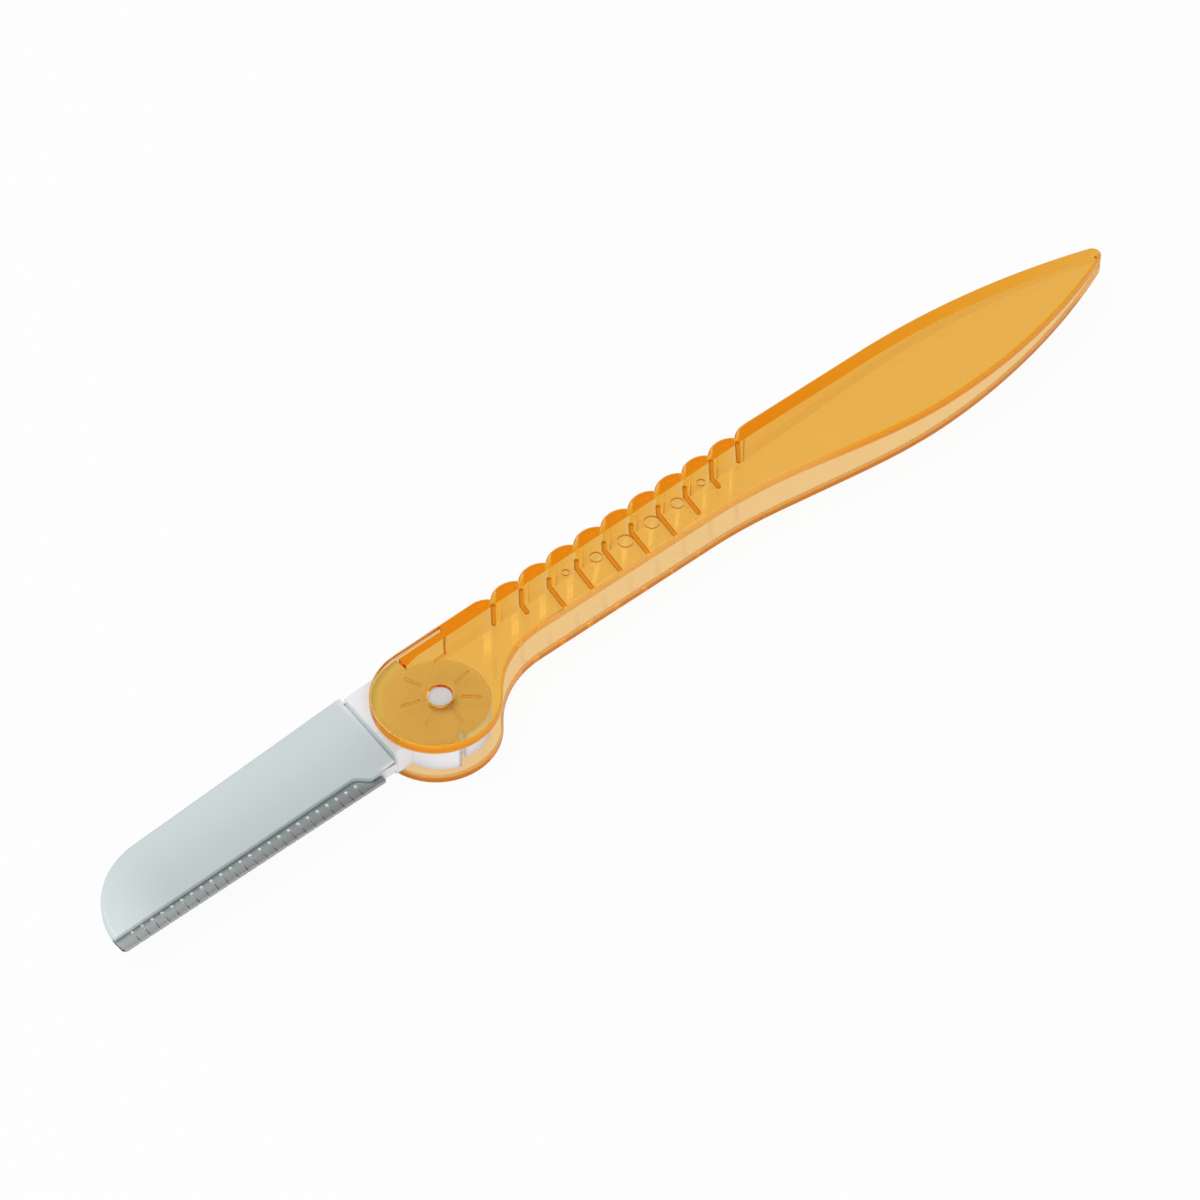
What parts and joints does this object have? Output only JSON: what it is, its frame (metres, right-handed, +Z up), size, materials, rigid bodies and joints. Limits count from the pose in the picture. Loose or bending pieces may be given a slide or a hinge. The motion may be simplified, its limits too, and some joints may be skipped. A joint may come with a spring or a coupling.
{
  "type": "folding eyebrow razor",
  "caption": "Folding eyebrow razor with a clear orange scalloped handle, a white round-tipped blade holder and a slotted steel skin guard, shown open.",
  "frame": {"origin": "on the hinge axis, in the plane of the handle's underside, on which the razor rests", "axes": "+X from the hinge to the handle's tail, so the open blade points to -X; +Y towards the scalloped back edge, so the cutting edge faces -Y; +Z up, along the hinge axis"},
  "size_m": [0.1627, 0.0171, 0.0071],
  "materials": {
    "orange_plastic": "clear orange moulded plastic, polished",
    "white_plastic": "opaque cool white moulded plastic, smooth",
    "blade_steel": "ground razor steel",
    "guard_steel": "thin rolled stainless foil, satin"
  },
  "bodies": {
    "handle": {"handle": "orange_plastic"},
    "blade_arm": {"blade_holder": "white_plastic", "razor_blade": "blade_steel", "skin_guard": "guard_steel"}
  },
  "joints": [
    {"name": "blade_fold", "type": "hinge", "parent": "handle", "child": "blade_arm", "pos_m": [0, 0, 0.00355], "axis": [0, 0, 1], "range_deg": [0, 180]}
  ]
}
